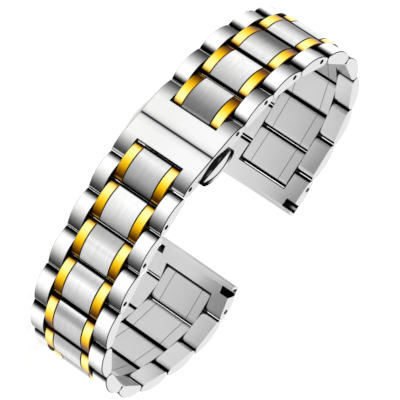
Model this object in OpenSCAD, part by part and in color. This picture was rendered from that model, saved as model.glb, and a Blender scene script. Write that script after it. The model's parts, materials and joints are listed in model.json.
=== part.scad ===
// Two-tone five-row link bracelet with a butterfly clasp, standing on its side edge.
// Z runs across the width, the clasp's outer face looks towards -Y and the free ends are at +Y.
// The long half leaves the clasp towards +X, the short half towards -X.
// Each half is drawn in its own plane first: u runs along the bracelet away from the seam,
// v points away from the wrist. A piece's own frame has its near pin at the origin.

/* [Links] */
// Distance from one link to the next in a row
link_pitch = 8.6; // [7.5:0.1:10]
// Gap between the ends of neighbouring links in a row
link_gap = 0.1; // [0.06:0.02:0.3]
// Height of the arched outer face above the pins
crown_h = 1.5; // [1.3:0.05:1.9]
// Depth of the flat wrist face below the pins
wrist_depth = 1.4; // [1.2:0.05:1.8]
// Radius of the arched outer face along the bracelet
arch_r = 7.6; // [6.8:0.1:11]
// Radius of the rounded ends on the wrist side
heel_r = 1.35; // [1.2:0.05:1.4]
// Bevel on the long edges of every link piece
edge_bevel = 0.14; // [0.05:0.01:0.25]
// Length of the bevel across the ends of the outer face
end_bevel = 0.3; // [0.15:0.05:0.5]

/* [Widths] */
// Width of the bracelet at the free ends, the lug width of the watch
lug_w = 20; // [18:0.5:24]
// Width of the bracelet at the clasp
clasp_w = 18.6; // [17:0.1:20]
// Width of the middle row's brushed centre piece
centre_w = 7.3; // [6:0.1:8]
// Width of one gold strip
gold_w = 2.2; // [1.5:0.1:2.4]
// Gap between a gold strip and the centre piece
strip_gap = 0.03; // [0.02:0.01:0.08]
// Gap between the middle row and the outer links
side_gap = 0.08; // [0.05:0.01:0.15]

/* [Pins] */
// Radius of the link pins
pin_r = 0.5; // [0.4:0.05:0.6]
// Radial clearance where a link turns on its pin
pin_clear = 0.05; // [0.02:0.01:0.08]
// Radial clearance where a pin is held fast
pin_hold = 0.015; // [0.01:0.005:0.02]
// How far a removable pin lies below the side face
pin_recess = 0.4; // [0.2:0.05:0.8]
// Metal left outside a hidden pin
blind_wall = 0.9; // [0.6:0.05:1.2]
// Number of outer links on each half with removable pins
removable_links = 3; // [1:1:6]

/* [Covers] */
// Length of one clasp cover from the seam to its far tips
cover_len = 9.4; // [8.6:0.1:11]
// Height of the covers' flat top above the first link pin
cover_pin_drop = 1.3; // [1.2:0.05:1.6]
// Length of the flat part of a cover's top
cover_flat = 5; // [4:0.1:6]
// Radius of the cover's top where it curves down
cover_arch_r = 8.4; // [7:0.1:12]
// Depth of the covers' sides below the flat top
cover_depth = 3; // [2.8:0.05:3.4]
// Radius of the covers' rounded ends on the wrist side
cover_heel_r = 1.95; // [1.7:0.05:2.2]
// Thickness of the cover's top plate
cover_plate = 1.2; // [0.9:0.05:1.4]
// Gap between the two covers at the seam
seam_gap = 0.12; // [0.06:0.02:0.3]
// Thickness of a cover's side wall
cover_wall = 2; // [1.4:0.1:2.4]

/* [Clasp] */
// Distance from the seam to the hinges at the ends of the base
base_reach = 12.4; // [11.5:0.1:13]
// Radius of the base and arms along the wrist
blade_r = 33; // [30:1:48]
// Width of the base and arms
blade_w = 10; // [8:0.1:10.4]
// Thickness of the base blade
base_t = 0.9; // [0.6:0.05:1.2]
// Thickness of an arm
arm_t = 0.8; // [0.6:0.05:0.9]
// Gap between a folded arm and the base
blade_gap = 0.15; // [0.1:0.01:0.3]
// Depth of the base's top below the flat of the covers at the seam
base_drop = 3.3; // [3.2:0.05:3.6]
// Distance from the seam to the hinge between arm and cover
tip_reach = 2.6; // [2.5:0.05:3]
// Depth of that hinge below the flat of the covers
tip_drop = 2.3; // [2.2:0.05:2.4]
// Radius of the clasp's hinge knuckles
knuckle_r = 0.85; // [0.75:0.01:0.88]
// Radius of the clasp's hinge pins
hinge_pin_r = 0.4; // [0.3:0.05:0.5]
// Width of the middle knuckle on each arm
arm_knuckle_w = 6.8; // [5:0.1:7.4]

/* [Buttons] */
// Half length of a push button, along the bracelet
button_half = 4.4; // [3.8:0.1:4.8]
// Depth of the button's crest line below the flat of the covers
button_crest = 2.9; // [2.7:0.1:3.2]
// Height of the button's upper arc above its crest line
button_rise = 2.1; // [1.8:0.1:2.4]
// Depth of the lower arc of the button's face below its crest line
button_fall = 1.8; // [1.4:0.1:2.2]
// How far the crest stands out of the covers' sides
button_out = 0.4; // [0.2:0.05:0.6]
// How much further out the foot of the button's face stands
button_lean = 0.3; // [0.1:0.05:0.4]
// Width of the lip round the button's lower arc
lip_w = 0.55; // [0.3:0.05:0.8]
// How far the lip stands out of the covers' sides
lip_out = 1; // [0.8:0.05:1.2]
// Travel of a button
button_travel = 0.8; // [0.5:0.05:0.9]
// Gap round a button
button_gap = 0.1; // [0.06:0.01:0.2]
// Radius of a button's stem
stem_r = 0.6; // [0.45:0.05:0.7]
// Wire radius of a button spring
spring_wire_r = 0.09; // [0.06:0.01:0.12]
// Turns of a button spring
spring_turns = 5; // [3:1:8]

/* [End links] */
// Distance from an end link's pin to its free edge
end_reach = 6.3; // [5.8:0.1:8]
// Radius of the bore for the watch's spring bar
bar_bore_r = 0.95; // [0.8:0.05:1.05]
// Distance from the bar's axis to the free edge
bar_inset = 1.65; // [1.55:0.05:2]
// Height of the bar's axis above the wrist face
bar_height = 1.45; // [1.35:0.05:1.6]
// Length of each access slot for the spring bar tool
slot_len = 2.2; // [1.5:0.1:3]
// Width of each access slot
slot_w = 1.8; // [1:0.1:2]

/* [Hidden] */
// Bends at rest as runs of equal hinges from the clasp: number of hinges, degrees for each
LONG_RUNS = [[1, 17], [6, 3], [9, 12], [3, 7], [3, 20]];
SHORT_RUNS = [[2, 2], [5, 8], [8, 14], [3, 3]];
long_bends = [for (run = LONG_RUNS) for (i = [1:run[0]]) run[1]];
short_bends = [for (run = SHORT_RUNS) for (i = [1:run[0]]) run[1]];
long_links = len(long_bends) / 2 - 1;
short_links = len(short_bends) / 2 - 1;

hinge_step = link_pitch / 2;
tip_half = (link_pitch - link_gap) / 2;
overhang = tip_half - hinge_step / 2;
heel_at = tip_half - heel_r;
arch_centre = crown_h - arch_r;
row_half = centre_w / 2 + strip_gap + gold_w;
outer_from = row_half + side_gap;
fine = 96;
bore_fine = 32;
far = 40;
fuse = 0.05;

cover_pin_u = cover_len - link_pitch / 4;
notch_floor = cover_pin_u - overhang - 0.2;
notch_half = row_half + side_gap;
clasp_half = clasp_w / 2;
cover_hollow = clasp_half - cover_wall;
blade_half = blade_w / 2;
arm_knuckle_half = arm_knuckle_w / 2;
knuckle_gap = 0.1;
blade_centre = -base_drop - blade_r;
base_hinge_v = blade_centre + sqrt(pow(blade_r, 2) - pow(base_reach, 2)) + 0.05;
knuckle_free = knuckle_r + 0.15;

button_top_r = (pow(button_half, 2) + pow(button_rise, 2)) / (2 * button_rise);
button_low_r = (pow(button_half, 2) + pow(button_fall, 2)) / (2 * button_fall);
button_low_v = button_low_r - button_crest - button_fall;
fall_per_mm = (button_out + 0.1) / button_rise;
lip_climb = 0.9;
button_back = cover_hollow + button_travel + 0.15;
window_half = 1.6;
window_r = 0.9;
block_half_u = tip_reach - knuckle_r - 0.25;
block_half_z = 5.6;
block_top = 1.4;
stem_v = -(base_drop + block_top) / 2;
stem_end = 3.6;
spring_from = 1.1;
bore_from = 1;
spring_mean_r = stem_r - spring_wire_r - 0.02;

bar_u = end_reach - bar_inset;
bar_v = bar_height - wrist_depth;

// The path of a half: one [u, v, direction] for each hinge
function turned(bends, j) = j < 0 ? 0 : bends[j] + turned(bends, j - 1);
function stepped(p, direction) = [p.x + hinge_step * cos(direction), p.y - hinge_step * sin(direction)];
function hinge_at(bends, j) =
    j == 0 ? [cover_pin_u, -cover_pin_drop] : stepped(hinge_at(bends, j - 1), turned(bends, j - 1));
function path(bends) = [for (j = [0:len(bends) - 1]) [each hinge_at(bends, j), turned(bends, j)]];
long_path = path(long_bends);
short_path = path(short_bends);

// How far a half reaches in a direction, from the outer arcs of its links
function crown_at(a) = arch_centre + sqrt(pow(arch_r, 2) - pow(a - hinge_step / 2, 2));
function reach(half_path, towards) = max([
    for (p = half_path) let (away = abs((towards - 90 + p.z + 540) % 360 - 180))
        (p.x + hinge_step / 2 * cos(p.z) + arch_centre * sin(p.z)) * cos(towards)
        + (p.y - hinge_step / 2 * sin(p.z) + arch_centre * cos(p.z)) * sin(towards)
        + arch_r * cos(max(0, away - arch_angle))
]);
arch_angle = asin((tip_half - end_bevel) / arch_r);
loop_x = [-reach(short_path, 0), reach(long_path, 0)];
loop_y = [-max(reach(short_path, 90), reach(long_path, 90)), max(reach(short_path, -90), reach(long_path, -90))];
stand_h = max(lug_w / 2, clasp_half + lip_out);
origin_x = (loop_x[0] + loop_x[1]) / 2;
origin_y = (loop_y[0] + loop_y[1]) / 2;

function numbered(name, count) = [for (k = [1:count]) str(name, k < 10 ? "0" : "", k)];
LONG_CENTRES = numbered("long_centre_link_", long_links + 1);
LONG_OUTERS = numbered("long_outer_links_", long_links);
SHORT_CENTRES = numbered("short_centre_link_", short_links + 1);
SHORT_OUTERS = numbered("short_outer_links_", short_links);

STEEL = [0.78, 0.78, 0.79];
POLISHED = [0.86, 0.86, 0.87];
GOLD = [0.93, 0.72, 0.2];
DARK_STEEL = [0.6, 0.6, 0.62];

// Half width of the outer links: they widen evenly from the clasp to the ends
function outer_half(k, links) = clasp_half + (lug_w - clasp_w) / 2 * k / (links + 1);

// Puts a half's plane into place: the long half to the right, the short half to the left
module in_half(is_long) {
    translate([-origin_x, -origin_y, stand_h])
        if (is_long) mirror([0, 1, 0]) children();
        else rotate([0, 0, 180]) children();
}

// Puts a piece on its near pin
module on_path(is_long, j) {
    at = is_long ? long_path[j] : short_path[j];
    in_half(is_long) translate([at.x, at.y, 0]) rotate([0, 0, -at.z]) children();
}

// A bar along Z with the given half length, and a bore or pin of that kind at u, v
module rod(r, half_len, u = 0, v = 0) {
    translate([u, v, -half_len]) cylinder(r = r, h = 2 * half_len, $fn = bore_fine);
}

// Side view of every link piece: arched outside, flat towards the wrist, round heels
module link_profile(low = -overhang, high = hinge_step + overhang) {
    middle = hinge_step / 2;
    intersection() {
        translate([middle, arch_centre]) circle(r = arch_r, $fn = fine);
        translate([low, -wrist_depth]) square([high - low, wrist_depth + crown_h]);
        union() {
            translate([middle - heel_at, -wrist_depth]) square([2 * heel_at, wrist_depth + crown_h]);
            for (side = [-1, 1])
                translate([middle + side * heel_at, heel_r - wrist_depth]) circle(r = heel_r, $fn = fine);
        }
        end_bevels(low, high);
    }
}

// Straight bevels across both ends of the outer face
module end_bevels(low, high) {
    top = crown_at(low) - end_bevel;
    polygon([
        [low, -wrist_depth], [high, -wrist_depth], [high, top],
        [high - end_bevel - crown_h, top + 1.6 * (end_bevel + crown_h)],
        [low + end_bevel + crown_h, top + 1.6 * (end_bevel + crown_h)], [low, top]
    ]);
}

// A link piece from z0 to z1, with its long edges bevelled along the arch
module link_bar(z0, z1) {
    intersection() {
        translate([0, 0, z0]) linear_extrude(z1 - z0) link_profile();
        translate([hinge_step / 2, arch_centre, z0]) bevelled_drum(arch_r, z1 - z0, edge_bevel);
    }
}

module bevelled_drum(r, h, bevel) {
    cylinder(r1 = r - bevel, r2 = r, h = bevel, $fn = fine);
    translate([0, 0, bevel]) cylinder(r = r, h = h - 2 * bevel, $fn = fine);
    translate([0, 0, h - bevel]) cylinder(r1 = r, r2 = r - bevel, h = bevel, $fn = fine);
}

// One link of the middle row: brushed centre, two gold strips and its two pins
module centre_link(is_long, k) {
    links = is_long ? long_links : short_links;
    on_path(is_long, 2 * k - 2) {
        color(STEEL) difference() {
            link_bar(-centre_w / 2, centre_w / 2);
            held_bores();
        }
        color(GOLD) difference() {
            for (side = [0, 1]) mirror([0, 0, side]) link_bar(centre_w / 2 + strip_gap, row_half);
            held_bores();
        }
        color(DARK_STEEL) {
            rod(pin_r, near_pin_half(k, links));
            rod(pin_r, far_pin_half(k, links), hinge_step);
        }
    }
}

module held_bores() {
    rod(pin_r + pin_hold, far);
    rod(pin_r + pin_hold, far, hinge_step);
}

// Half lengths of the pins at a centre link's near and far ends
function near_pin_half(k, links) =
    k == 1 ? clasp_half - pin_recess
    : k - 1 <= removable_links ? outer_half(k - 1, links) - pin_recess
    : outer_half(k - 1, links) - blind_wall - pin_recess;
function far_pin_half(k, links) =
    k == links + 1 ? lug_w / 2 - pin_recess : outer_half(k, links) - blind_wall - pin_recess;

// A pair of outer links: the near bores are blind, the far bores are open on the removable links
module outer_links(is_long, k) {
    links = is_long ? long_links : short_links;
    half = outer_half(k, links);
    color(POLISHED) on_path(is_long, 2 * k - 1) difference() {
        for (side = [0, 1]) mirror([0, 0, side]) link_bar(outer_from, half);
        rod(pin_r + pin_clear, half - blind_wall);
        rod(pin_r + pin_clear, k <= removable_links ? far : half - blind_wall, hinge_step);
    }
}

// Side view of an end link: arched like the links near its pin, then flat to the round free edge
module end_profile() {
    nose_r = bar_inset;
    difference() {
        union() {
            link_profile();
            translate([hinge_step / 2, -wrist_depth]) square([bar_u - hinge_step / 2, wrist_depth + crown_at(bar_u)]);
            intersection() {
                translate([bar_u, bar_v]) circle(r = nose_r, $fn = fine);
                translate([bar_u, -wrist_depth]) square([nose_r, wrist_depth + crown_h]);
            }
            translate([hinge_step / 2, -wrist_depth]) square([bar_u + 0.8 - hinge_step / 2, 1]);
        }
        translate([-far, crown_h]) square(2 * far);
    }
}

// An end link: notched for the last centre link, bored for the spring bar, slotted for the tool
module end_link(is_long) {
    half = lug_w / 2;
    j = len(is_long ? long_bends : short_bends) - 1;
    color(POLISHED) on_path(is_long, j) difference() {
        translate([0, 0, -half]) linear_extrude(lug_w) end_profile();
        translate([-far, -far, -notch_half]) cube([far + overhang + 0.2, 2 * far, 2 * notch_half]);
        rod(pin_r + pin_clear, far);
        rod(bar_bore_r, far, bar_u, bar_v);
        for (side = [-1, 1])
            translate([bar_u - slot_w / 2, -far, side * (half - slot_len / 2) - slot_len / 2])
                cube([slot_w, far + bar_v, slot_len]);
    }
}

// Side view of a cover: flat top, curved down to the far tips, cut away above the button
module cover_profile() {
    bottom = -cover_depth;
    difference() {
        intersection() {
            translate([seam_gap / 2, bottom]) square([cover_len - (seam_gap + link_gap) / 2, cover_depth]);
            union() {
                translate([0, bottom]) square([cover_flat, cover_depth]);
                translate([cover_flat, -cover_arch_r]) circle(r = cover_arch_r, $fn = 2 * fine);
            }
            union() {
                translate([0, bottom]) square([cover_len - cover_heel_r, cover_depth]);
                translate([cover_len - link_gap / 2 - cover_heel_r, bottom + cover_heel_r]) circle(r = cover_heel_r, $fn = fine);
                translate([0, bottom + cover_heel_r]) square([cover_len, cover_depth]);
            }
        }
        button_arch(button_gap);
    }
}

// The arch over the button, grown by a gap
module button_arch(gap) {
    translate([0, button_rise - button_crest - button_top_r]) circle(r = button_top_r + gap, $fn = 2 * fine);
}

// The room a cover is cut from: its long outer edges are bevelled
module cover_room() {
    rotate([0, 90, 0]) mirror([1, 0, 0]) linear_extrude(cover_flat) polygon([
        [-clasp_half, -far], [clasp_half, -far], [clasp_half, -edge_bevel],
        [clasp_half - edge_bevel, 0], [edge_bevel - clasp_half, 0], [-clasp_half, -edge_bevel]
    ]);
    translate([cover_flat, -cover_arch_r, -clasp_half]) bevelled_drum(cover_arch_r, clasp_w, edge_bevel);
}

module cover(is_long) {
    color(POLISHED) in_half(is_long) difference() {
        union() {
            difference() {
                intersection() {
                    translate([0, 0, -clasp_half]) linear_extrude(clasp_w) cover_profile();
                    cover_room();
                }
                translate([0, -far - cover_plate, -cover_hollow]) cube([notch_floor + 0.6, far, 2 * cover_hollow]);
            }
            translate([0, -cover_plate, -cover_hollow - fuse])
                cube_to([seam_gap / 2, 0, 0], [notch_floor, cover_plate, 2 * (cover_hollow + fuse)]);
            for (side = [0, 1]) mirror([0, 0, side]) cover_lug();
        }
        translate([notch_floor, -far, -notch_half]) cube([far, 2 * far, 2 * notch_half]);
        rod(pin_r + pin_clear, far, cover_pin_u, -cover_pin_drop);
        rod(hinge_pin_r + pin_clear, cover_hollow - 1, tip_reach, -tip_drop);
    }
}

// A box between two corners
module cube_to(low, high) {
    translate(low) cube(high - low);
}

// A lug under the cover's plate that carries the arm's tip
module cover_lug() {
    lug_from = arm_knuckle_half + knuckle_gap;
    lug_w = blade_half - lug_from;
    translate([tip_reach, -tip_drop, lug_from]) cylinder(r = knuckle_r, h = lug_w, $fn = bore_fine);
    translate([tip_reach - knuckle_r, -tip_drop, lug_from]) cube([2 * knuckle_r, tip_drop - cover_plate / 2, lug_w]);
}

// A stretch of blade bent round the wrist, between two heights above the base's top
module blade(u0, u1, low, high, half) {
    translate([0, 0, -half]) linear_extrude(2 * half) intersection() {
        difference() {
            translate([0, blade_centre]) circle(r = blade_r + high, $fn = 360);
            translate([0, blade_centre]) circle(r = blade_r + low, $fn = 360);
        }
        translate([u0, -far]) square([u1 - u0, far]);
    }
}

// The base: a bent blade with a pair of knuckles at each end
module clasp_base() {
    color(STEEL) in_half(true) difference() {
        union() {
            blade(-base_reach, base_reach, -base_t, 0, blade_half);
            for (side = [-1, 1]) rod(knuckle_r, blade_half, side * base_reach, base_hinge_v);
        }
        for (side = [-1, 1]) {
            rod(knuckle_free, arm_knuckle_half + knuckle_gap, side * base_reach, base_hinge_v);
            rod(hinge_pin_r + pin_hold, far, side * base_reach, base_hinge_v);
        }
        for (side = [-1, 1]) translate([side * base_reach / 2, 0, 0]) base_window();
    }
}

// A window with round ends that lightens the base
module base_window() {
    for (z = [-window_half, window_half])
        translate([0, 0, z]) rotate([90, 0, 0]) cylinder(r = window_r, h = far, $fn = bore_fine);
    translate([-window_r, -far, -window_half]) cube([2 * window_r, far, 2 * window_half]);
}

// An arm: a blade with a knuckle at the base's end and one at the cover
module arm(is_long) {
    blade_from = tip_reach + knuckle_free;
    blade_to = base_reach - knuckle_free;
    color(STEEL) in_half(is_long) difference() {
        union() {
            blade(blade_from, blade_to, blade_gap, blade_gap + arm_t, blade_half);
            blade(tip_reach, base_reach, blade_gap, blade_gap + arm_t, arm_knuckle_half);
            rod(knuckle_r, arm_knuckle_half, tip_reach, -tip_drop);
            rod(knuckle_r, arm_knuckle_half, base_reach, base_hinge_v);
        }
        rod(hinge_pin_r + pin_hold, far, tip_reach, -tip_drop);
        rod(hinge_pin_r + pin_clear, far, base_reach, base_hinge_v);
    }
}

module arm_pin(is_long) {
    color(DARK_STEEL) in_half(is_long) rod(hinge_pin_r, blade_half - 0.1, base_reach, base_hinge_v);
}

module cover_pin(is_long) {
    color(DARK_STEEL) in_half(is_long) rod(hinge_pin_r, blade_half - 0.1, tip_reach, -tip_drop);
}

// The block in the middle of the base that guides both buttons
module latch_block() {
    color(STEEL) in_half(true) difference() {
        translate([0, 0, -block_half_z]) linear_extrude(2 * block_half_z) difference() {
            translate([-block_half_u, -base_drop - 0.6]) square([2 * block_half_u, base_drop + 0.6 - block_top]);
            translate([0, blade_centre]) circle(r = blade_r + 0.02, $fn = 360);
        }
        for (side = [0, 1]) mirror([0, 0, side])
            translate([0, stem_v, bore_from]) cylinder(r = stem_r + pin_clear, h = far, $fn = bore_fine);
    }
}

// Section of a push button across its crest: z outwards, v up
module button_section() {
    top = button_rise - button_crest;
    low = -button_crest - button_fall;
    crest_z = clasp_half + button_out;
    polygon([
        [button_back, top + 1], [clasp_half - 0.1 - fall_per_mm, top + 1],
        [crest_z, -button_crest], [crest_z + button_lean, low], [crest_z + button_lean, low - 1],
        [button_back, low - 1]
    ]);
}

// The lip's ends climb from the crest's tips
module lip_section() {
    start_z = clasp_half + button_out - 0.1;
    polygon([
        [button_back, -button_crest + 2], [start_z - lip_climb, -button_crest + 1],
        [start_z + 2 * lip_climb, -button_crest - 2], [start_z + 2 * lip_climb, -far], [button_back, -far]
    ]);
}

// A section drawn across the button, run along it
module along_button() {
    translate([-far, 0, 0]) rotate([0, 90, 0]) mirror([1, 0, 0]) linear_extrude(2 * far) children();
}

// The lip round the lower arc, flared outwards
module button_lip() {
    foot_z = clasp_half + button_out + button_lean + 0.05;
    lip_z = clasp_half + lip_out;
    edge_r = button_low_r + lip_w;
    translate([0, button_low_v, 0]) rotate_extrude($fn = 2 * fine) polygon([
        [button_low_r - 0.3, button_back], [edge_r, button_back], [edge_r, lip_z - 0.1],
        [edge_r - 0.1, lip_z], [button_low_r, foot_z], [button_low_r - 0.3, foot_z - 0.45]
    ]);
}

module button(side) {
    color(POLISHED) in_half(true) mirror([0, 0, side]) {
        intersection() {
            translate([0, 0, button_back]) linear_extrude(far) button_arch(0);
            union() {
                intersection() {
                    translate([0, button_low_v, button_back]) cylinder(r = button_low_r + fuse, h = far, $fn = 2 * fine);
                    along_button() button_section();
                }
                intersection() {
                    button_lip();
                    along_button() lip_section();
                }
            }
        }
        translate([0, stem_v, stem_end]) cylinder(r = stem_r, h = button_back + 0.2 - stem_end, $fn = bore_fine);
        for (end = [-1, 1]) translate([end * tip_reach - 0.5, stem_v - 0.5, blade_half + button_travel + 0.15])
            cube([1, 1, button_back - blade_half - button_travel + 0.05]);
    }
}

// A coil spring behind a button's stem, one unbroken wire
module button_spring(side) {
    sides = 6;
    per_turn = 8;
    rings = spring_turns * per_turn;
    length = stem_end - 0.02 - spring_from - 2 * spring_wire_r;
    points = [for (i = [0:rings]) for (s = [0:sides - 1])
        let (turn = 360 * i / per_turn, round = 360 * s / sides,
             r = spring_mean_r + spring_wire_r * cos(round))
            [r * cos(turn), r * sin(turn), length * i / rings + spring_wire_r * sin(round)]];
    skin = [for (i = [0:rings - 1]) for (s = [0:sides - 1])
        let (a = i * sides + s, b = i * sides + (s + 1) % sides)
            each [[a, a + sides, b + sides], [a, b + sides, b]]];
    caps = [for (s = [1:sides - 2]) each [[0, s, s + 1],
        [rings * sides, rings * sides + s + 1, rings * sides + s]]];
    color(DARK_STEEL) in_half(true) mirror([0, 0, side])
        translate([0, stem_v, spring_from + spring_wire_r]) polyhedron(points, concat(skin, caps));
}

clasp_base();
latch_block();
button(0);  // near_button
button(1);  // far_button
button_spring(0);  // near_button_spring
button_spring(1);  // far_button_spring
arm(true);  // long_arm
arm(false);  // short_arm
arm_pin(true);  // long_arm_pin
arm_pin(false);  // short_arm_pin
cover(true);  // long_cover
cover(false);  // short_cover
cover_pin(true);  // long_cover_pin
cover_pin(false);  // short_cover_pin
for (k = [1:long_links + 1]) centre_link(true, k);
for (k = [1:long_links]) outer_links(true, k);
for (k = [1:short_links + 1]) centre_link(false, k);
for (k = [1:short_links]) outer_links(false, k);
end_link(true);  // long_end_link
end_link(false);  // short_end_link
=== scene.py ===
import json
import math

import bpy
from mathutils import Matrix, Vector


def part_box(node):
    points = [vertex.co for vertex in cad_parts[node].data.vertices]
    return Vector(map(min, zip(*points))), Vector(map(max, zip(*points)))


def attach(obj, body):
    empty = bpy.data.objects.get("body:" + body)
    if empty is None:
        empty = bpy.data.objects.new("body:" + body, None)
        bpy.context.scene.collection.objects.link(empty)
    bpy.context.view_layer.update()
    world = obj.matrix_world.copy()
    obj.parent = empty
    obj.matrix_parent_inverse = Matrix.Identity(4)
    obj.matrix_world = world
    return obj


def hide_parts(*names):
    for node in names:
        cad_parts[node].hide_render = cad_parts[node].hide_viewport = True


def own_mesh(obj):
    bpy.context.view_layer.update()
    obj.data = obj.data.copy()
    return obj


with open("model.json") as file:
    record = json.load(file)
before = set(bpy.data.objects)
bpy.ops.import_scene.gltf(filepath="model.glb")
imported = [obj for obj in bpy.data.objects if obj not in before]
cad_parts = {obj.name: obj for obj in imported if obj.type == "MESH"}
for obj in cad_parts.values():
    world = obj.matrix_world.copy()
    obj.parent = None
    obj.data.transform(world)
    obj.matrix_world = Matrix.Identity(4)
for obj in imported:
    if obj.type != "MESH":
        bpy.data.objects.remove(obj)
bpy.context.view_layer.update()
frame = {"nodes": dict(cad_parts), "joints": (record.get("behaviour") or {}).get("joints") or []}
nodes = frame["nodes"]
MM = 0.001


# Places of the links
def pins_of(half):
    """The places of a half's link pins at rest, from its cover to its end link."""
    joints = [joint for joint in frame["joints"] if joint["name"].startswith(half + "_pin")]
    return [Vector(joint["pos_m"]) for joint in sorted(joints, key=lambda joint: joint["name"])]


PINS = {half: pins_of(half) for half in ("long", "short")}
# Which way each half runs along X, and the bend at its last pin
SIDE = {"long": 1, "short": -1}
END_BEND = {"long": math.radians(20), "short": math.radians(3)}

# Sizes that the finishes follow, as in the part's source
STEP = (PINS["long"][1] - PINS["long"][0]).length
LINK_GAP = 0.1 * MM
PIECE_HALF = STEP - LINK_GAP / 2
CENTRE_WIDTH = 7.3 * MM
STRIP_WIDTH = 2.2 * MM
STRIP_GAP = 0.03 * MM
PARTING = (CENTRE_WIDTH + STRIP_GAP) / 2
ROW_HALF = CENTRE_WIDTH / 2 + STRIP_GAP + STRIP_WIDTH
CLASP_HALF = 9.3 * MM
COVER_LENGTH = 9.4 * MM
COVER_PIN_DROP = 1.3 * MM
SEAM = (PINS["long"][0] + PINS["short"][0]) / 2 - Vector((0, COVER_PIN_DROP, 0))
# The button's lip is an arc, and these heights are from the covers' flat outside
BUTTON_HALF = 4.4 * MM
BUTTON_FALL = 1.8 * MM
BUTTON_CREST = -2.9 * MM
BUTTON_ARC = (BUTTON_HALF ** 2 + BUTTON_FALL ** 2) / (2 * BUTTON_FALL)
BUTTON_ARC_HEIGHT = BUTTON_CREST - BUTTON_FALL + BUTTON_ARC
# The end link's bar lies past its pin, with a slot at each end that is painted black as shade up to just
# under the bore's top
LUG_HALF = 10 * MM
END_REACH = 6.3 * MM
BAR_INSET = 1.65 * MM
BORE_RADIUS = 0.95 * MM
BAR_FROM_PIN = END_REACH - BAR_INSET
SLOT_LENGTH = 2.2 * MM
SLOT_HALF = 0.9 * MM
SLOT_BORDER = 0.04 * MM
SLOT_FROM = LUG_HALF - SLOT_LENGTH
SLOT_TOP = BORE_RADIUS - SLOT_BORDER


def link_share(length):
    """A length along a link as a share of the whole link."""
    return length / (2 * PIECE_HALF)


BAR_ALONG = 0.5 + link_share(BAR_FROM_PIN - STEP / 2)


def link_angle(half, pin):
    """How far the link past a pin is turned about Z. The end link has no pin past it."""
    side = SIDE[half]
    if pin + 1 == len(PINS[half]):
        return link_angle(half, pin - 1) + side * END_BEND[half]
    along = side * (PINS[half][pin + 1] - PINS[half][pin])
    return math.atan2(along.y, along.x)


def link_frame(half, pin):
    """The middle of the link past a pin, its angle about Z, and which way it runs."""
    angle, side = link_angle(half, pin), SIDE[half]
    along = side * Vector((math.cos(angle), math.sin(angle), 0))
    return PINS[half][pin] + STEP / 2 * along, angle, side


def cover_frame(half):
    """The seam at the level of the covers' flat outside, which isn't turned."""
    return SEAM, 0.0, SIDE[half]


# Node helpers. A Mix node's sockets share their names, so those for colours go by number
FIRST_COLOUR = 6
SECOND_COLOUR = 7
MIXED_COLOUR = 2


def add(tree, kind, **settings):
    made = tree.nodes.new(kind)
    for name, value in settings.items():
        setattr(made, name, value)
    return made


def feed(tree, socket, value):
    """Joins an output to the socket, or writes a plain value in it."""
    if isinstance(value, bpy.types.NodeSocket):
        tree.links.new(value, socket)
    else:
        socket.default_value = value


def maths(tree, operation, *values, clamp=False):
    made = add(tree, "ShaderNodeMath", operation=operation, use_clamp=clamp)
    for socket, value in zip(made.inputs, values):
        feed(tree, socket, value)
    return made.outputs[0]


def split(tree, vector):
    """The X, Y and Z of a vector."""
    made = add(tree, "ShaderNodeSeparateXYZ")
    feed(tree, made.inputs[0], vector)
    return made.outputs


def apart(tree, value, place):
    """How far a value lies from a place, whichever way."""
    return maths(tree, "ABSOLUTE", maths(tree, "SUBTRACT", value, place))


def overlap(tree, first, *others):
    """1 where every mask is 1."""
    for mask in others:
        first = maths(tree, "MULTIPLY", first, mask)
    return first


def ramp_between(tree, value, low, high, to_low=0.0, to_high=1.0):
    """A smooth step from to_low to to_high as the value goes from low to high."""
    made = add(tree, "ShaderNodeMapRange", interpolation_type="SMOOTHSTEP", clamp=True)
    for socket, entry in zip(made.inputs, (value, low, high, to_low, to_high)):
        feed(tree, socket, entry)
    return made.outputs[0]


def colours(tree, value, stops):
    """A colour ramp through (position, (r, g, b)) stops."""
    made = add(tree, "ShaderNodeValToRGB")
    strip = made.color_ramp.elements
    while len(strip) > 1:
        strip.remove(strip[-1])
    strip[0].position, strip[0].color = stops[0][0], (*stops[0][1], 1)
    for place, colour in stops[1:]:
        strip.new(place).color = (*colour, 1)
    feed(tree, made.inputs[0], value)
    return made.outputs[0]


def blend_colours(tree, amount, first, second, blend="MIX"):
    made = add(tree, "ShaderNodeMix", data_type="RGBA", blend_type=blend)
    feed(tree, made.inputs["Factor"], amount)
    for number, entry in ((FIRST_COLOUR, first), (SECOND_COLOUR, second)):
        feed(tree, made.inputs[number], entry if isinstance(entry, bpy.types.NodeSocket) else (*entry, 1))
    return made.outputs[MIXED_COLOUR]


def group_of(name, takes, gives):
    """An empty node group: takes is {socket: default}, None for a vector, and gives names its numbers."""
    group = bpy.data.node_groups.new(name, "ShaderNodeTree")
    for socket_name, default in takes.items():
        kind = "NodeSocketVector" if default is None else "NodeSocketFloat"
        made = group.interface.new_socket(socket_name, in_out="INPUT", socket_type=kind)
        if default is not None:
            made.default_value = default
    for socket_name in gives:
        group.interface.new_socket(socket_name, in_out="OUTPUT", socket_type="NodeSocketFloat")
    return group, add(group, "NodeGroupInput").outputs, add(group, "NodeGroupOutput").inputs


def place_group(tree, group, **values):
    made = add(tree, "ShaderNodeGroup", node_tree=group)
    for name, value in values.items():
        feed(tree, made.inputs[name.replace("_", " ")], value)
    return made.outputs


# Effects that the metals share: the patches of the brushing are wider than its lines, and lie apart from them
LINE_DETAIL = 3
PATCH_DETAIL = 1
PATCH_WIDTHS = 7
PATCH_OFFSET = 5.0


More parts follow.
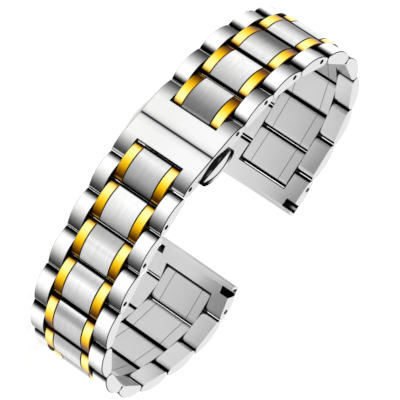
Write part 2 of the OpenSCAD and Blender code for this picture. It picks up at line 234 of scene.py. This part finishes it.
def make_brushing():
    """Fine lines and broader patches drawn along X of the given position, both round 0.5."""
    group, taken, given = group_of(
        "Brushed lines", {"Position": None, "Length": 3 * MM, "Width": 0.05 * MM}, ("Lines", "Patches"))
    x, y, z = split(group, taken["Position"])

    def streaks(width, detail, offset):
        joined = add(group, "ShaderNodeCombineXYZ")
        feed(group, joined.inputs[0], maths(group, "DIVIDE", x, taken["Length"]))
        feed(group, joined.inputs[1], maths(group, "ADD", maths(group, "DIVIDE", y, width), offset))
        feed(group, joined.inputs[2], maths(group, "DIVIDE", z, width))
        noise = add(group, "ShaderNodeTexNoise")
        noise.inputs["Scale"].default_value = 1
        noise.inputs["Detail"].default_value = detail
        feed(group, noise.inputs["Vector"], joined.outputs[0])
        return noise.outputs[0]

    feed(group, given["Lines"], streaks(taken["Width"], LINE_DETAIL, 0.0))
    patch_width = maths(group, "MULTIPLY", taken["Width"], PATCH_WIDTHS)
    feed(group, given["Patches"], streaks(patch_width, PATCH_DETAIL, PATCH_OFFSET))
    return group


# How far a face's normal leans outwards or sideways where its mask begins, and where it is full
OUTSIDE_LEAN = (0.3, 0.6)
WRIST_LEAN = (-0.3, -0.5)
SIDE_LEAN = (0.9, 0.97)
EDGE_LEAN = (0.3, 0.5)
EDGE_END_LEAN = (0.95, 0.85)


def make_face_finder():
    """From a position and normal in a piece's own frame: where on the piece it is, and on which face."""
    group, taken, given = group_of(
        "Faces of a link", {"Position": None, "Normal": None, "Half length": PIECE_HALF},
        ("Along", "Outside", "Wrist side", "Side", "Edge", "Height", "Across"))
    x, y, z = split(group, taken["Position"])
    facing = split(group, taken["Normal"])
    share = maths(group, "DIVIDE", x, taken["Half length"])
    feed(group, given["Along"], maths(group, "MULTIPLY_ADD", share, 0.5, 0.5, clamp=True))
    feed(group, given["Height"], maths(group, "MULTIPLY", y, -1))
    feed(group, given["Across"], maths(group, "ABSOLUTE", z))
    outward = maths(group, "MULTIPLY", facing[1], -1)
    sideways = maths(group, "ABSOLUTE", facing[2])
    feed(group, given["Outside"], ramp_between(group, outward, *OUTSIDE_LEAN))
    feed(group, given["Wrist side"], ramp_between(group, outward, *WRIST_LEAN))
    feed(group, given["Side"], ramp_between(group, sideways, *SIDE_LEAN))
    feed(group, given["Edge"], overlap(group, ramp_between(group, sideways, *EDGE_LEAN),
                                       ramp_between(group, sideways, *EDGE_END_LEAN)))
    return group


# The scales are in cells to a metre, and a hairline's width is a share of its cell
SMUDGE_SCALE = 260
SMUDGE_DETAIL = 3
HAIR_SCALE = 420
HAIR_WIDTH = 0.012
HAIR_ROUGHNESS = 0.05


def make_handling_wear():
    """Faint smudges and hairline marks that change the roughness of worn metal."""
    group, taken, given = group_of(
        "Handling wear", {"Position": None, "Amount": 0.1, "Base": 0.2}, ("Roughness", "Marks"))
    smudge = add(group, "ShaderNodeTexNoise")
    smudge.inputs["Scale"].default_value = SMUDGE_SCALE
    smudge.inputs["Detail"].default_value = SMUDGE_DETAIL
    feed(group, smudge.inputs["Vector"], taken["Position"])
    hair = add(group, "ShaderNodeTexVoronoi", feature="DISTANCE_TO_EDGE")
    hair.inputs["Scale"].default_value = HAIR_SCALE
    feed(group, hair.inputs["Vector"], taken["Position"])
    marks = ramp_between(group, hair.outputs["Distance"], HAIR_WIDTH, 0.0)
    lift = maths(group, "MULTIPLY", maths(group, "SUBTRACT", smudge.outputs[0], 0.5), taken["Amount"])
    rough = maths(group, "ADD", taken["Base"], lift)
    feed(group, given["Roughness"], maths(group, "MULTIPLY_ADD", marks, HAIR_ROUGHNESS, rough))
    feed(group, given["Marks"], marks)
    return group


BRUSHING = make_brushing()
FACES = make_face_finder()
WEAR = make_handling_wear()


# Tones
SCREEN_GAMMA = 2.2


def grey(shown):
    """A neutral base colour, from how bright it should look between 0 and 1."""
    return (shown ** SCREEN_GAMMA,) * 3


def tones(*stops):
    """Greys along a piece, from (share of its length, brightness) stops."""
    return [(place, grey(shown)) for place, shown in stops]


def centre_reflection_run(*stops, closes=0.965):
    """Painted reflection greys along a centre link whose ends are painted black as shade, from the gap's edge
    to where it closes.
    """
    return tones((0.0, 0.0), (0.04, 0.03), *stops, (closes, 0.02), (1.0, 0.0))


# How bright each plain part of the steel looks, and the gold where it isn't lit
WRIST_SIDE = 0.8
COVER_WRIST_SIDE = 0.68
OUTER_SIDE = 1.0
COVER_SIDE = 0.97
# Painted shade on the sides between rows, in gaps and in slots, and painted dark reflection lines along edges
CENTRE_SIDE_SHADE = 0.1
PAINTED_DARK_EDGE = grey(0.03)
GAP_SHADE = grey(0.04)
SHADED_INNER_SIDE = grey(0.05)
SLOT_SHADE = grey(0.02)
PARTING_GREY = grey(0.12)
PIN_GREY = grey(0.25)
FREE_EDGE = grey(0.74)
BUTTON_FACE = grey(1.0)
# Painted shade at the tips of the button's lip, and a painted dark reflection with pale streaks on its upper
# facet
BUTTON_LIP_TIP_SHADE = grey(0.08)
BUTTON_FACET_REFLECTION = grey(0.06)
BUTTON_STREAK = grey(0.4)
# Painted shade on the gold: at its edges, and on its faces other than the outside
GOLD_EDGE_SHADE = (0.1, 0.035, 0.001)
GOLD_END_SHADE = (0.02, 0.006, 0.001)

# Painted reflection and shade: away from the clasp a polished link runs from a dark gap to white, down to
# black, and to a bright bevel
POLISHED_REFLECTION_RUN = tones(
    (0.0, 0.0), (0.04, 0.02), (0.075, 0.35), (0.12, 0.76), (0.18, 0.96), (0.34, 0.97), (0.48, 0.9),
    (0.6, 0.76), (0.72, 0.54), (0.83, 0.32), (0.92, 0.16), (0.945, 0.08), (0.955, 0.8), (0.97, 0.8),
    (0.98, 0.0))
# Painted reflection along an end link's outside, from a painted dark gap up to white
END_LINK_REFLECTION_RUN = tones(
    (0.0, 0.0), (0.035, 0.02), (0.07, 0.3), (0.12, 0.72), (0.2, 0.93), (0.5, 0.95), (0.8, 0.85), (1.0, 0.8))
# A cover's run of painted reflection begins at the seam, half way along, because its frame has its middle
# there
COVER_REFLECTION_RUN = tones(
    (0.5, 0.0), (0.506, 0.03), (0.511, 0.5), (0.52, 0.74), (0.54, 0.85), (0.6, 0.9), (0.74, 0.9), (0.8, 0.82),
    (0.87, 0.6), (0.93, 0.36), (0.97, 0.22), (0.978, 0.75), (0.988, 0.75), (0.994, 0.0))
# The painted reflections on the brushed centre pieces differ along the bracelet, as the bends turn them to
# the light
PALE_REFLECTION_RUN = centre_reflection_run(
    (0.065, 0.66), (0.2, 0.7), (0.3, 0.78), (0.4, 0.9), (0.48, 0.84), (0.56, 0.88), (0.72, 0.8), (0.9, 0.72),
    (0.95, 0.6))
DUSKY_REFLECTION_RUN = centre_reflection_run(
    (0.065, 0.8), (0.22, 0.9), (0.42, 0.76), (0.6, 0.5), (0.76, 0.28), (0.93, 0.22), (0.945, 0.8),
    (0.96, 0.6), closes=0.97)
COMMON_REFLECTION_RUN = {"long": PALE_REFLECTION_RUN, "short": DUSKY_REFLECTION_RUN}
SPECIAL_REFLECTION_RUNS = {
    ("long", 1): centre_reflection_run((0.065, 0.8), (0.2, 0.9), (0.45, 0.72), (0.7, 0.6), (0.88, 0.4), (0.94, 0.25)),
    ("long", 2): centre_reflection_run((0.065, 0.93), (0.25, 0.94), (0.5, 0.86), (0.75, 0.72), (0.92, 0.56),
                            (0.95, 0.4)),
    ("long", 4): centre_reflection_run((0.065, 0.88), (0.12, 0.8), (0.2, 0.72), (0.28, 0.8), (0.38, 0.94), (0.5, 0.88),
                            (0.66, 0.76), (0.85, 0.66), (0.94, 0.5)),
    ("long", 5): tones((0.0, 0.0), (0.03, 0.05), (0.05, 0.95), (0.1, 0.84), (0.18, 0.62), (0.28, 0.6),
                       (0.4, 0.78), (0.6, 0.74), (0.8, 0.68), (0.94, 0.6), (0.965, 0.02), (1.0, 0.0)),
    ("short", 1): tones((0.0, 0.0), (0.03, 0.45), (0.06, 0.62), (0.1, 0.42), (0.3, 0.48), (0.55, 0.66),
                        (0.8, 0.84), (0.94, 0.88), (0.955, 0.6), (0.967, 0.02), (1.0, 0.0)),
    ("short", 2): centre_reflection_run((0.065, 0.66), (0.2, 0.74), (0.4, 0.83), (0.6, 0.9), (0.8, 0.93), (0.94, 0.9),
                             (0.955, 0.6), closes=0.967),
}
# Painted reflection along a gold strip: dark at the gaps, bright, then brown, with a bright bevel before the
# far end
GOLD_REFLECTION_RUN = [
    (0.0, (0.004, 0.001, 0.0)), (0.055, (0.02, 0.006, 0.0)), (0.085, (0.7, 0.38, 0.02)),
    (0.14, (0.98, 0.82, 0.26)), (0.26, (1.0, 0.9, 0.4)), (0.4, (1.0, 0.78, 0.14)),
    (0.52, (0.95, 0.58, 0.01)), (0.64, (0.68, 0.35, 0.001)), (0.75, (0.3, 0.12, 0.0)),
    (0.84, (0.09, 0.026, 0.0)), (0.915, (0.03, 0.006, 0.0)), (0.93, (0.4, 0.2, 0.02)),
    (0.948, (0.28, 0.12, 0.01)), (0.958, (0.004, 0.001, 0.0))]

# Each pair below says where a mask is 0 and where it is 1
# Shares of a piece's length at which painted shade darkens its wrist side beside a gap; a link's are from its
# middle
LINK_SHADE = (0.426, 0.438)
END_LINK_SHADE = (0.088, 0.075)
END_LINK_NOTCH = (0.55, 0.54)
COVER_SHADE = (0.958, 0.966)
COVER_NOTCH = (0.748, 0.753)
# Shares at which an end link's free edge begins, and at which a centre link's metal ends, from its middle
FREE_EDGE_FROM = (0.75, 0.8)
CENTRE_METAL_END = (0.465, 0.458)
# How far the brushing shifts the tones of a run, and the share at which it stops, for a centre link from
# its middle
OUTER_FRAY = 0.09
OUTER_FRAY_END = (0.96, 0.95)
CENTRE_FRAY = 0.1
CENTRE_FRAY_END = (0.43, 0.4)
# Distances from mid width: walls beside the centre row, which get painted shade, strips, thin lines along
# edges, of which the cover's rim line is painted dark, and pin ends
NOTCH_WALL = (ROW_HALF + 0.32 * MM, ROW_HALF + 0.24 * MM)
INNER_WALL = (ROW_HALF + 0.42 * MM, ROW_HALF + 0.22 * MM)
STRIP_INNER = (PARTING - 0.01 * MM, PARTING)
STRIP_OUTER = (ROW_HALF + 0.07 * MM, ROW_HALF + 0.02 * MM)
ROW_RIM = (ROW_HALF - 0.08 * MM, ROW_HALF - 0.03 * MM)
PIN_END = (ROW_HALF + 0.02 * MM, ROW_HALF + 0.07 * MM)
COVER_RIM = (CLASP_HALF - 0.19 * MM, CLASP_HALF - 0.13 * MM)
# Half the width of the line between a centre piece and its strips
PARTING_WIDTH = (0.07 * MM, 0.04 * MM)
# Heights of the gold's foot and the button's crest, and the button's lip by its distance from its centre
GOLD_FOOT = (-0.6 * MM, -0.45 * MM)
ABOVE_CREST = (BUTTON_CREST - 0.03 * MM, BUTTON_CREST + 0.03 * MM)
ON_LIP = (BUTTON_ARC - 0.02 * MM, BUTTON_ARC + 0.02 * MM)
LIP_LINE = BUTTON_ARC - 0.06 * MM
LIP_LINE_WIDTH = (0.13 * MM, 0.08 * MM)
# From the seam, where painted shade darkens the button's lip towards its tips
LIP_TIPS = (1.6 * MM, 3.8 * MM)
# Brushed patches that show as pale streaks in the painted dark reflection on the button's upper facet
BUTTON_STREAKS = (0.56, 0.66)

# The brushing's part in how bright a surface is, and the strength of its relief
GRAIN_LEAST = 0.82
GRAIN_PATCHES = 0.24
GRAIN_LINES = 0.14
SATIN_LEAST = 0.95
SATIN_LINES = 0.1
PLAIN_DARK = 0.92
PLAIN_PALE = 1.05
MARK_PALE = 1.08
BUMP_STRENGTH = 0.35


# Finishes
def new_metal(name):
    material = bpy.data.materials.new(name)
    material.use_nodes = True
    shader = material.node_tree.nodes["Principled BSDF"]
    shader.inputs["Metallic"].default_value = 1.0
    return material, material.node_tree, shader


def own_frame(tree, centre, angle, side):
    """Position and normal in a piece's own frame: X away from the clasp, Y towards the wrist."""
    coordinates = add(tree, "ShaderNodeTexCoord")
    place = add(tree, "ShaderNodeMapping", vector_type="TEXTURE")
    place.inputs["Location"].default_value = centre
    place.inputs["Rotation"].default_value = (0, 0, angle)
    place.inputs["Scale"].default_value = (side, 1, 1)
    feed(tree, place.inputs["Vector"], coordinates.outputs["Object"])
    facing = add(tree, "ShaderNodeMapping", vector_type="TEXTURE")
    facing.inputs["Rotation"].default_value = (0, 0, angle)
    feed(tree, facing.inputs["Vector"], coordinates.outputs["Normal"])
    return place.outputs[0], facing.outputs[0]


def piece_metal(name, place, length, width, half_length=PIECE_HALF):
    """A metal with the position, faces and brushing of the piece whose frame is given."""
    material, tree, shader = new_metal(name)
    position, facing = own_frame(tree, *place)
    faces = place_group(tree, FACES, Position=position, Normal=facing, Half_length=half_length)
    brushed = place_group(tree, BRUSHING, Position=position, Length=length, Width=width)
    return material, tree, shader, position, faces, brushed


def wear_and_relief(tree, shader, position, brushed, smudges, rough, depth):
    """Gives a metal its handling wear and the relief of its brushing, and returns the wear's marks."""
    wear = place_group(tree, WEAR, Position=position, Amount=smudges, Base=rough)
    feed(tree, shader.inputs["Roughness"], wear["Roughness"])
    bump = add(tree, "ShaderNodeBump")
    bump.inputs["Strength"].default_value = BUMP_STRENGTH
    bump.inputs["Distance"].default_value = depth
    feed(tree, bump.inputs["Height"], brushed["Lines"])
    feed(tree, shader.inputs["Normal"], bump.outputs[0])
    return wear["Marks"]


def frayed(tree, faces, brushed, reach):
    """The share along a piece, shifted by its brushing so that the tones of a run end in streaks."""
    shift = maths(tree, "MULTIPLY", maths(tree, "SUBTRACT", brushed["Lines"], 0.5), reach)
    return maths(tree, "ADD", faces["Along"], shift)


def notch_shade(tree, faces, limits):
    """1 in the notch for the centre row and close beside it."""
    return overlap(tree, ramp_between(tree, faces["Along"], *limits),
                   ramp_between(tree, faces["Across"], *NOTCH_WALL))


def steel_faces(tree, faces, brushed, outside, gap, wrist=WRIST_SIDE, side=OUTER_SIDE, ends=PAINTED_DARK_EDGE):
    """Colours a piece: its outside, a satin wrist side with painted shade where gap is 1, its sides with
    painted shade on the walls beside the centre row, its ends, by default in painted shade, and painted dark
    lines along its edges.
    """
    drift = maths(tree, "MULTIPLY_ADD", brushed["Lines"], SATIN_LINES, SATIN_LEAST)
    satin = blend_colours(tree, 1.0, grey(wrist), drift, "MULTIPLY")
    satin = blend_colours(tree, gap, satin, GAP_SHADE)
    colour = blend_colours(tree, faces["Wrist side"], ends, satin)
    colour = blend_colours(tree, faces["Outside"], colour, outside)
    inner = ramp_between(tree, faces["Across"], *INNER_WALL)
    colour = blend_colours(tree, faces["Side"], colour, blend_colours(tree, inner, grey(side), SHADED_INNER_SIDE))
    return blend_colours(tree, faces["Edge"], colour, PAINTED_DARK_EDGE)


def outer_link_steel(half, number, pin):
    """Polished, with the same painted reflection run along the outside of each outer link."""
    material, tree, shader, position, faces, brushed = piece_metal(
        "outer_steel_%s_%02d" % (half, number), link_frame(half, pin), length=6 * MM, width=0.07 * MM)
    reach = ramp_between(tree, faces["Along"], *OUTER_FRAY_END, 0.0, OUTER_FRAY)
    outside = colours(tree, frayed(tree, faces, brushed, reach), POLISHED_REFLECTION_RUN)
    gap = ramp_between(tree, apart(tree, faces["Along"], 0.5), *LINK_SHADE)
    feed(tree, shader.inputs["Base Color"], steel_faces(tree, faces, brushed, outside, gap))
    wear_and_relief(tree, shader, position, brushed, smudges=0.06, rough=0.2, depth=0.002 * MM)
    return material


def gold_strip(tree, faces, along, grain):
    """The gold of a strip's outside with its painted reflection, and painted shade, dark brown, at its edges
    and ends.
    """
    gold = blend_colours(tree, 1.0, colours(tree, along, GOLD_REFLECTION_RUN), grain, "MULTIPLY")
    gold = blend_colours(tree, faces["Edge"], gold, GOLD_EDGE_SHADE)
    return blend_colours(tree, faces["Outside"], GOLD_END_SHADE, gold)


def strip_mask(tree, faces):
    """1 on the two gold strips, down to where the gold ends."""
    return overlap(tree, ramp_between(tree, faces["Across"], *STRIP_INNER),
                   ramp_between(tree, faces["Height"], *GOLD_FOOT),
                   ramp_between(tree, faces["Across"], *STRIP_OUTER))


def parting_lines(tree, faces):
    """1 on the thin lines beside the strips on the wrist side."""
    inner = ramp_between(tree, apart(tree, faces["Across"], PARTING), *PARTING_WIDTH)
    outer = ramp_between(tree, faces["Across"], *ROW_RIM)
    return overlap(tree, maths(tree, "MAXIMUM", inner, outer), faces["Wrist side"])


def centre_link_metal(half, number, pin):
    """Brushed steel with a painted reflection in the middle, a gold strip on each side of the outside, steel
    below, and pin ends.
    """
    material, tree, shader, position, faces, brushed = piece_metal(
        "centre_metal_%s_%02d" % (half, number), link_frame(half, pin), length=7 * MM, width=0.06 * MM)
    from_middle = apart(tree, faces["Along"], 0.5)
    # The ends are painted dull black as shade in each gap, because a mirror there would show the white room
    # in each gap
    feed(tree, shader.inputs["Metallic"], ramp_between(tree, from_middle, *CENTRE_METAL_END))
    shader.inputs["Specular IOR Level"].default_value = 0
    reach = ramp_between(tree, from_middle, *CENTRE_FRAY_END, 0.0, CENTRE_FRAY)
    along = frayed(tree, faces, brushed, reach)
    patches = maths(tree, "MULTIPLY_ADD", brushed["Patches"], GRAIN_PATCHES, GRAIN_LEAST)
    grain = maths(tree, "MULTIPLY_ADD", brushed["Lines"], GRAIN_LINES, patches)
    run = SPECIAL_REFLECTION_RUNS.get((half, number), COMMON_REFLECTION_RUN[half])
    outside = blend_colours(tree, 1.0, colours(tree, along, run), grain, "MULTIPLY")
    gap = ramp_between(tree, from_middle, *LINK_SHADE)
    steel = steel_faces(tree, faces, brushed, outside, gap, side=CENTRE_SIDE_SHADE)
    steel = blend_colours(tree, parting_lines(tree, faces), steel, PARTING_GREY)
    colour = blend_colours(tree, strip_mask(tree, faces), steel, gold_strip(tree, faces, along, grain))
    pin_end = ramp_between(tree, faces["Across"], *PIN_END)
    feed(tree, shader.inputs["Base Color"], blend_colours(tree, pin_end, colour, PIN_GREY))
    wear_and_relief(tree, shader, position, brushed, smudges=0.08, rough=0.32, depth=0.003 * MM)
    return material


def slot_mask(tree, faces):
    """1 inside the slots at both ends of the end link's bar bore."""
    from_bar = apart(tree, faces["Along"], BAR_ALONG)
    border, inside = link_share(SLOT_HALF + SLOT_BORDER), link_share(SLOT_HALF)
    return overlap(tree, ramp_between(tree, from_bar, border, inside),
                   ramp_between(tree, faces["Across"], SLOT_FROM - SLOT_BORDER, SLOT_FROM),
                   ramp_between(tree, faces["Height"], SLOT_TOP + SLOT_BORDER, SLOT_TOP))


def end_link_steel(half):
    """Polished outside with a painted reflection, satin on the wrist side and along the free edge, and
    painted black shade in the slots.
    """
    material, tree, shader, position, faces, brushed = piece_metal(
        "end_steel_%s" % half, link_frame(half, len(PINS[half]) - 1), length=5 * MM, width=0.08 * MM)
    outside = colours(tree, faces["Along"], END_LINK_REFLECTION_RUN)
    gap = maths(tree, "MAXIMUM", notch_shade(tree, faces, END_LINK_NOTCH),
                ramp_between(tree, faces["Along"], *END_LINK_SHADE))
    free_edge = ramp_between(tree, faces["Along"], *FREE_EDGE_FROM)
    ends = blend_colours(tree, free_edge, PAINTED_DARK_EDGE, FREE_EDGE)
    colour = steel_faces(tree, faces, brushed, outside, gap, ends=ends)
    feed(tree, shader.inputs["Base Color"], blend_colours(tree, slot_mask(tree, faces), colour, SLOT_SHADE))
    wear_and_relief(tree, shader, position, brushed, smudges=0.08, rough=0.22, depth=0.002 * MM)
    return material


def cover_steel(half):
    """Polished, with a painted reflection: near white and flat at the seam, darker where the top curves down
    to the tips.
    """
    material, tree, shader, position, faces, brushed = piece_metal(
        "cover_steel_%s" % half, cover_frame(half), length=5 * MM, width=0.1 * MM, half_length=COVER_LENGTH)
    outside = colours(tree, faces["Along"], COVER_REFLECTION_RUN)
    gap = maths(tree, "MAXIMUM", notch_shade(tree, faces, COVER_NOTCH),
                ramp_between(tree, faces["Along"], *COVER_SHADE))
    colour = steel_faces(tree, faces, brushed, outside, gap, wrist=COVER_WRIST_SIDE, side=COVER_SIDE)
    # A painted dark line along the rim of the cover's outside
    rim = overlap(tree, ramp_between(tree, faces["Across"], *COVER_RIM), faces["Outside"])
    feed(tree, shader.inputs["Base Color"], blend_colours(tree, rim, colour, PAINTED_DARK_EDGE))
    wear_and_relief(tree, shader, position, brushed, smudges=0.05, rough=0.14, depth=0.001 * MM)
    return material


def button_steel():
    """Polished, with a painted dark reflection on the upper facet above the crest, a pale face below it, a
    painted dark line along the lip's edge and painted shade towards the lip's tips.
    """
    material, tree, shader, position, faces, brushed = piece_metal(
        "button_steel", cover_frame("long"), length=2 * MM, width=0.1 * MM)
    from_seam = split(tree, position)[0]
    above_arc = maths(tree, "SUBTRACT", BUTTON_ARC_HEIGHT, faces["Height"])
    squares = maths(tree, "ADD", maths(tree, "MULTIPLY", from_seam, from_seam),
                    maths(tree, "MULTIPLY", above_arc, above_arc))
    reach = maths(tree, "SQRT", squares)
    tips = ramp_between(tree, maths(tree, "ABSOLUTE", from_seam), *LIP_TIPS)
    lip = blend_colours(tree, tips, BUTTON_FACE, BUTTON_LIP_TIP_SHADE)
    colour = blend_colours(tree, ramp_between(tree, reach, *ON_LIP), BUTTON_FACE, lip)
    # A painted dark line along the edge of the lip
    on_line = ramp_between(tree, apart(tree, reach, LIP_LINE), *LIP_LINE_WIDTH)
    colour = blend_colours(tree, on_line, colour, PAINTED_DARK_EDGE)
    # The painted dark reflection on the upper facet, with pale brushed streaks
    streak = ramp_between(tree, brushed["Patches"], *BUTTON_STREAKS)
    facet = blend_colours(tree, streak, BUTTON_FACET_REFLECTION, BUTTON_STREAK)
    above_crest = ramp_between(tree, faces["Height"], *ABOVE_CREST)
    feed(tree, shader.inputs["Base Color"], blend_colours(tree, above_crest, colour, facet))
    wear_and_relief(tree, shader, position, brushed, smudges=0.05, rough=0.12, depth=0.001 * MM)
    return material


def plain_steel(name, level, rough, length, width):
    """Steel of the inner pieces, brushed along X, or across it where length is the smaller."""
    material, tree, shader = new_metal(name)
    position = add(tree, "ShaderNodeTexCoord").outputs["Object"]
    brushed = place_group(tree, BRUSHING, Position=position, Length=length, Width=width)
    grain = colours(tree, brushed["Lines"], tones((0.25, level * PLAIN_DARK), (0.75, level * PLAIN_PALE)))
    marks = wear_and_relief(tree, shader, position, brushed, smudges=0.12, rough=rough, depth=0.003 * MM)
    feed(tree, shader.inputs["Base Color"], blend_colours(tree, marks, grain, grey(level * MARK_PALE)))
    return material


# Every node gets its finish
def finish_nodes(material, *names):
    for name in names:
        for slot in nodes[name].material_slots:
            slot.material = material


for half in PINS:
    centres = sorted(name for name in nodes if name.startswith(half + "_centre_link"))
    outers = sorted(name for name in nodes if name.startswith(half + "_outer_links"))
    for number, name in enumerate(centres):
        finish_nodes(centre_link_metal(half, number + 1, 2 * number), name)
    for number, name in enumerate(outers):
        finish_nodes(outer_link_steel(half, number + 1, 2 * number + 1), name)
    finish_nodes(end_link_steel(half), half + "_end_link")
    finish_nodes(cover_steel(half), half + "_cover")

finish_nodes(button_steel(), "near_button", "far_button")
finish_nodes(plain_steel("clasp_blade_steel", level=0.8, rough=0.28, length=4 * MM, width=0.05 * MM),
             "clasp_base", "long_arm", "short_arm")
finish_nodes(plain_steel("latch_block_steel", level=0.72, rough=0.34, length=2 * MM, width=0.06 * MM),
             "latch_block")
finish_nodes(plain_steel("turned_pin_steel", level=0.68, rough=0.22, length=0.06 * MM, width=3 * MM),
             "long_arm_pin", "short_arm_pin", "long_cover_pin", "short_cover_pin")

# Springs behind the buttons
SPRING_WIRE = 0.09 * MM
SPRING_TURNS = 5
WIRE_SIDES = 14
TURN_STEPS = 36
SMOOTH_UNDER = math.radians(50)
WIRE_STEEL = plain_steel("spring_wire_steel", level=0.65, rough=0.25, length=0.3 * MM, width=0.04 * MM)


def button_coil(name):
    """A coil that stands for the spring behind a button."""
    low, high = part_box(name)
    low, high = Vector(low), Vector(high)
    centre = (low + high) / 2
    bpy.ops.object.select_all(action="DESELECT")
    bpy.ops.mesh.primitive_circle_add(
        vertices=WIRE_SIDES, radius=SPRING_WIRE, location=(0, 0, 0), rotation=(math.pi / 2, 0, 0))
    coil = bpy.context.active_object
    coil.location.x = (high.x - low.x) / 2 - SPRING_WIRE
    bpy.ops.object.transform_apply(location=True, rotation=True, scale=True)
    turns = coil.modifiers.new("turns", "SCREW")
    turns.axis = "Z"
    turns.angle = 2 * math.pi
    turns.steps = TURN_STEPS
    turns.render_steps = TURN_STEPS
    turns.iterations = SPRING_TURNS
    turns.screw_offset = (high.z - low.z - 2 * SPRING_WIRE) / SPRING_TURNS
    bpy.ops.object.modifier_apply(modifier="turns")
    bpy.ops.object.mode_set(mode="EDIT")
    bpy.ops.mesh.select_all(action="SELECT")
    bpy.ops.mesh.fill_holes(sides=0)
    bpy.ops.mesh.normals_make_consistent(inside=False)
    bpy.ops.object.mode_set(mode="OBJECT")
    coil.location = (centre.x, centre.y, low.z + SPRING_WIRE)
    bpy.ops.object.transform_apply(location=True, rotation=True, scale=True)
    bpy.ops.object.shade_smooth_by_angle(angle=SMOOTH_UNDER)
    coil.name = coil.data.name = name + "_coil"
    coil.data.materials.append(WIRE_STEEL)
    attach(coil, "clasp")
    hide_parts(name)
    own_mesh(coil)


button_coil("near_button_spring")
button_coil("far_button_spring")

# Floor, room, lamps and camera, placed in metres
FLOOR_SIZE = 6
FLOOR_COLOUR = (0.8, 0.8, 0.8, 1)
FLOOR_GLOW = 0.62
ROOM_LIGHT = 0.5
LAMP_TARGET = Vector((0, 0, 10)) * MM
# The camera turns by degrees, its lens and sensor are in millimetres, and its reach is from near to far
CAMERA_PLACE = Vector((152.737, -563.994, 276.198)) * MM
CAMERA_TURN = (-50.8707, -49.0243, 163.6405)
CAMERA_LENS = 288
SENSOR_WIDTH = 36
CAMERA_REACH = (0.05, 20)


def seen_directly(tree):
    """1 for rays from the camera and mirrored ones, 0 for the light that falls on the part."""
    rays = add(tree, "ShaderNodeLightPath").outputs
    bent = maths(tree, "MAXIMUM", rays["Is Glossy Ray"], rays["Is Transmission Ray"])
    return maths(tree, "MAXIMUM", rays["Is Camera Ray"], bent)


def floor_paper():
    """Matt, with a glow that makes the floor white in the picture and in the metal, and lights nothing."""
    paper = bpy.data.materials.new("pale_floor")
    paper.use_nodes = True
    tree = paper.node_tree
    tree.nodes.clear()
    matt = add(tree, "ShaderNodeBsdfDiffuse")
    matt.inputs["Color"].default_value = FLOOR_COLOUR
    glow = add(tree, "ShaderNodeEmission")
    feed(tree, glow.inputs["Strength"], maths(tree, "MULTIPLY", seen_directly(tree), FLOOR_GLOW))
    both = add(tree, "ShaderNodeAddShader")
    feed(tree, both.inputs[0], matt.outputs[0])
    feed(tree, both.inputs[1], glow.outputs[0])
    feed(tree, add(tree, "ShaderNodeOutputMaterial").inputs["Surface"], both.outputs[0])
    return paper


def white_room():
    """White where it is seen, and half as bright as a light."""
    world = bpy.data.worlds.new("studio")
    world.use_nodes = True
    tree = world.node_tree
    tree.nodes.clear()
    room = add(tree, "ShaderNodeBackground")
    strength = maths(tree, "MULTIPLY_ADD", seen_directly(tree), 1 - ROOM_LIGHT, ROOM_LIGHT)
    feed(tree, room.inputs["Strength"], strength)
    feed(tree, add(tree, "ShaderNodeOutputWorld").inputs["Surface"], room.outputs[0])
    return world


def soft_lamp(name, place, size, power):
    lamp_data = bpy.data.lights.new(name, "AREA")
    lamp_data.shape = "DISK"
    lamp_data.size = size
    lamp_data.energy = power
    lamp = bpy.data.objects.new(name, lamp_data)
    bpy.context.scene.collection.objects.link(lamp)
    lamp.location = place
    lamp.rotation_euler = (LAMP_TARGET - Vector(place)).to_track_quat("-Z", "Y").to_euler()


def photo_camera():
    """The view of the photo, through a long lens from above, turned so that the bracelet runs aslant."""
    camera_data = bpy.data.cameras.new("photo_camera")
    camera_data.lens = CAMERA_LENS
    camera_data.sensor_width = SENSOR_WIDTH
    camera_data.clip_start, camera_data.clip_end = CAMERA_REACH
    camera = bpy.data.objects.new("photo_camera", camera_data)
    bpy.context.scene.collection.objects.link(camera)
    camera.location = CAMERA_PLACE
    camera.rotation_euler = [math.radians(angle) for angle in CAMERA_TURN]
    return camera


bpy.ops.object.select_all(action="DESELECT")
bpy.ops.mesh.primitive_plane_add(size=FLOOR_SIZE, location=(0, 0, 0))
floor = bpy.context.active_object
floor.name = "floor"
floor.data.materials.append(floor_paper())

soft_lamp("key_softbox", place=(-0.35, -0.45, 0.6), size=0.45, power=2.2)
soft_lamp("back_softbox", place=(0.3, 0.55, 0.5), size=0.35, power=1.0)
bpy.context.scene.world = white_room()
bpy.context.scene.camera = photo_camera()
bpy.context.scene.view_settings.view_transform = "Standard"
